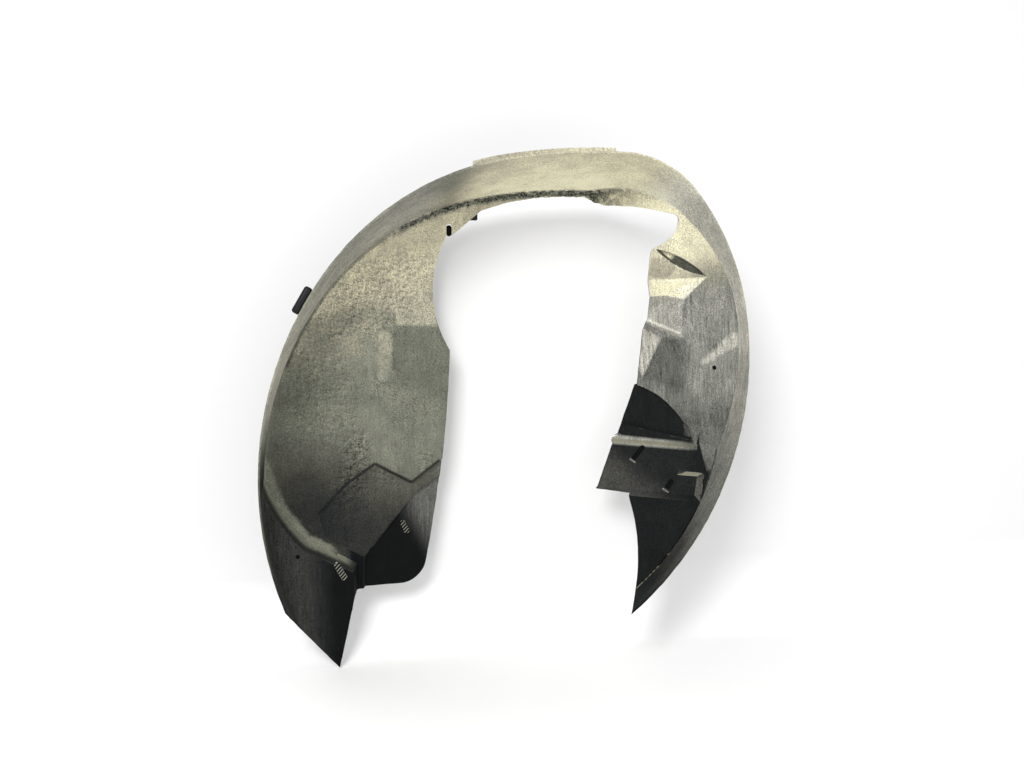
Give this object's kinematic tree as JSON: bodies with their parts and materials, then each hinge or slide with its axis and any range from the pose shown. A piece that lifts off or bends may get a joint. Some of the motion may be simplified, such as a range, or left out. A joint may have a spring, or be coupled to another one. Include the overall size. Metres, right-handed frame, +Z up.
{
  "type": "wheel arch liner",
  "caption": "Thin moulded wheel arch liner with a leaning barrel, stepped inboard walls, a wide suspension cut-out, fixing slots and small clips.",
  "frame": {"origin": "middle of the bounding box", "axes": "X along the vehicle, +Y inboard away from the open wheel side, +Z up as installed"},
  "size_m": [0.7401, 0.2072, 0.8063],
  "materials": {
    "liner": "dusty matt black moulding, tan road dust on the upper faces",
    "clip": "clean matt black"
  },
  "bodies": {
    "root": {"liner_shell": "liner", "edge_clip": "clip", "flange_clip": "clip"}
  },
  "joints": []
}
